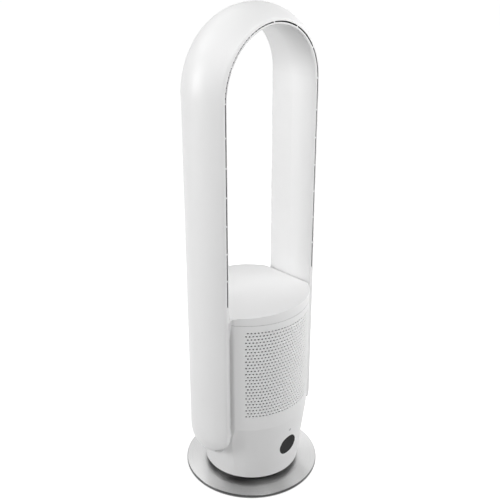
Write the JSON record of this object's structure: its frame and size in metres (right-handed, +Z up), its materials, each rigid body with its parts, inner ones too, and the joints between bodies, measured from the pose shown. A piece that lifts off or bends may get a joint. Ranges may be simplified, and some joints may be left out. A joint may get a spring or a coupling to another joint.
{
  "type": "bladeless tower fan",
  "caption": "White bladeless tower fan: a hollow loop with a nozzle slot round its front edge, above a perforated drum that swings on a round steel base.",
  "frame": {"origin": "centre of the base's underside, on the surface that the fan stands on", "axes": "+Z up along the swivel axis; the front, where the air comes out, faces -Y; +X is right seen from the front"},
  "size_m": [0.2898, 0.2746, 0.9575],
  "materials": {
    "foot_rubber": "matt moulded rubber",
    "base_black": "matt black plastic",
    "ballast_steel": "raw steel plate",
    "disc_steel": "brushed stainless steel",
    "screw_steel": "zinc plated",
    "neck_black": "matt black plastic",
    "gear_acetal": "natural acetal",
    "glide_acetal": "natural acetal",
    "washer_steel": "zinc plated",
    "nut_steel": "zinc plated",
    "tray_black": "matt black plastic",
    "tray_screw_steel": "zinc plated",
    "front_white": "satin white plastic",
    "rear_white": "satin white plastic",
    "front_grille_white": "satin white plastic",
    "rear_grille_white": "satin white plastic",
    "front_screen_mesh": "fine grey mesh",
    "rear_screen_mesh": "fine grey mesh",
    "cover_white": "satin white plastic",
    "shell_white": "satin white plastic",
    "liner_white": "satin white plastic",
    "seal_foam": "closed-cell foam",
    "lens_black": "polished black",
    "display_board_green": "circuit board",
    "ir_smoke": "smoked clear plastic",
    "main_board_green": "circuit board",
    "inlet_black": "matt black plastic",
    "swing_motor_steel": "zinc plated can",
    "pinion_acetal": "natural acetal",
    "plate_black": "matt black plastic",
    "fan_motor_steel": "zinc plated can",
    "bush_rubber": "soft black rubber",
    "motor_screw_steel": "zinc plated",
    "deck_black": "matt black plastic",
    "impeller_grey": "glass-filled plastic",
    "shaft_steel": "ground steel",
    "impeller_nut_steel": "zinc plated"
  },
  "bodies": {
    "base": {"foot_pads": "foot_rubber", "base_tray": "base_black", "ballast_plate": "ballast_steel", "base_disc": "disc_steel", "base_screws": "screw_steel", "pedestal": "neck_black", "fixed_gear": "gear_acetal", "glide_ring": "glide_acetal", "retaining_washer": "washer_steel", "retaining_nut": "nut_steel"},
    "tower": {"tower_tray": "tray_black", "tray_screws": "tray_screw_steel", "front_housing": "front_white", "rear_housing": "rear_white", "front_grille": "front_grille_white", "rear_grille": "rear_grille_white", "front_dust_screen": "front_screen_mesh", "rear_dust_screen": "rear_screen_mesh", "top_cover": "cover_white", "loop_shell": "shell_white", "loop_liner": "liner_white", "side_seals": "seal_foam", "display_lens": "lens_black", "display_board": "display_board_green", "ir_window": "ir_smoke", "main_board": "main_board_green", "power_inlet": "inlet_black", "oscillation_motor": "swing_motor_steel", "motor_plate": "plate_black", "fan_motor": "fan_motor_steel", "rubber_bushes": "bush_rubber", "motor_screws": "motor_screw_steel", "blower_deck": "deck_black"},
    "pinion": {"drive_pinion": "pinion_acetal"},
    "wheel": {"impeller": "impeller_grey", "rotor_shaft": "shaft_steel", "impeller_nut": "impeller_nut_steel"}
  },
  "joints": [
    {"name": "oscillation", "type": "hinge", "parent": "base", "child": "tower", "pos_m": [0, 0, 0.03], "axis": [0, 0, 1], "range_deg": [-45, 45]},
    {"name": "pinion_spin", "type": "hinge", "parent": "tower", "child": "pinion", "pos_m": [0, 0.03785, 0.015], "axis": [0, 0, 1], "range_deg": [-180, 180]},
    {"name": "impeller_spin", "type": "hinge", "parent": "tower", "child": "wheel", "pos_m": [0, 0, 0.12], "axis": [0, 0, 1], "continuous": true}
  ],
  "couplings": [
    {"joint": "pinion_spin", "follows": "oscillation", "ratio": 4}
  ]
}
